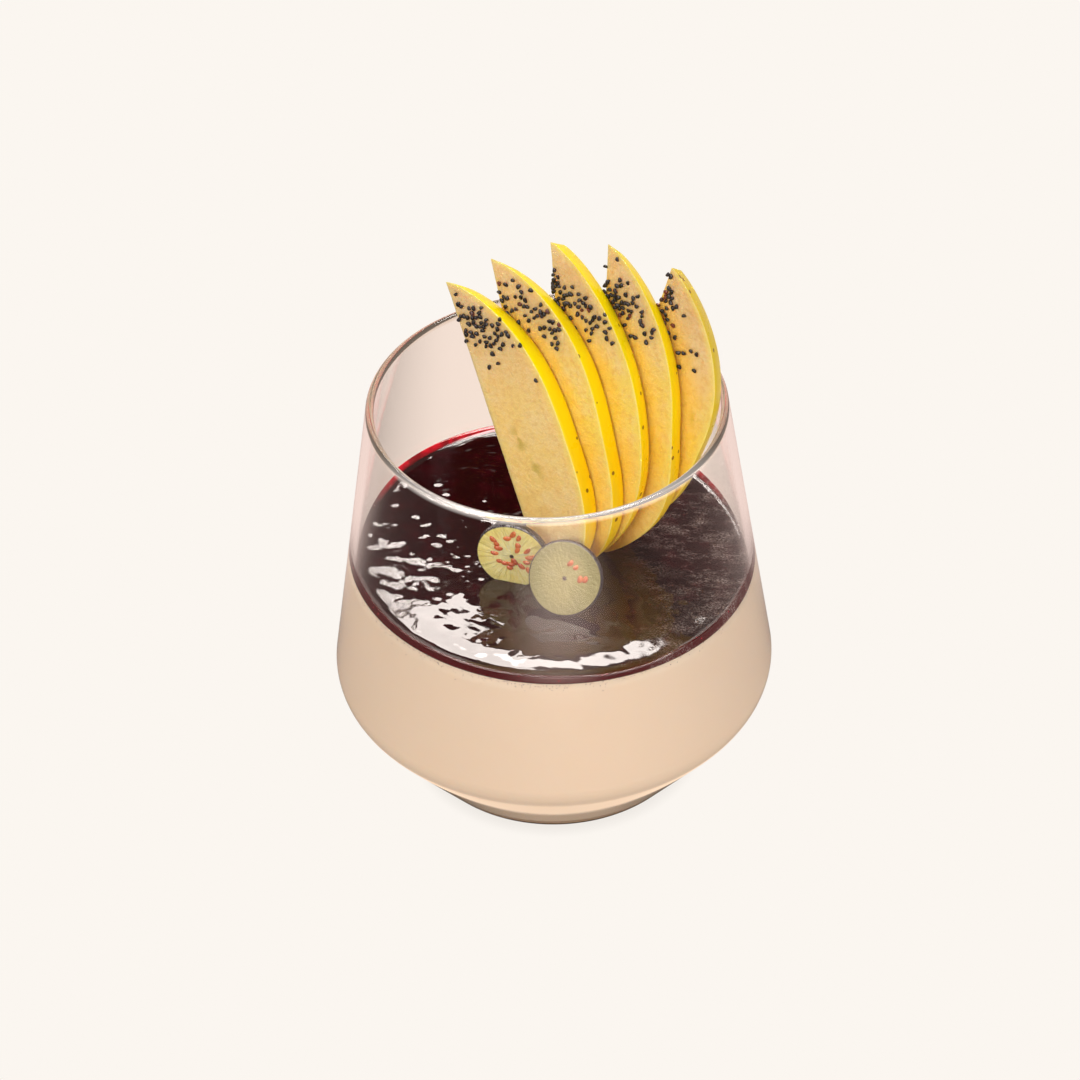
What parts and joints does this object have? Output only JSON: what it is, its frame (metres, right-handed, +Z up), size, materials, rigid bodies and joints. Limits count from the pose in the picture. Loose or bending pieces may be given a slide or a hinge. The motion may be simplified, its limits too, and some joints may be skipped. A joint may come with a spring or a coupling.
{
  "type": "panna cotta",
  "caption": "Set cream dessert in a stemless low-shouldered glass, with a thin dark jam layer, a fan of fruit slices standing in it and round berry slices in front",
  "frame": {"origin": "centre of the glass's foot, on the surface that it stands on", "axes": "+Z up along the glass, +X to the right and -Y to the front as it is served"},
  "size_m": [0.092, 0.092, 0.121],
  "materials": {
    "glass": "clear, smooth",
    "cream": "set cream, soft satin",
    "jam": "dark wet gloss",
    "fruit": "moist flesh with a waxy yellow skin",
    "berry": "moist grey-green flesh with a dark skin edge"
  },
  "bodies": {
    "root": {"glass": "glass", "cream": "cream", "jam": "jam", "fruit_slice_1": "fruit", "fruit_slice_2": "fruit", "fruit_slice_3": "fruit", "fruit_slice_4": "fruit", "fruit_slice_5": "fruit", "berry_slice_front": "berry", "berry_slice_back": "berry"}
  },
  "joints": []
}
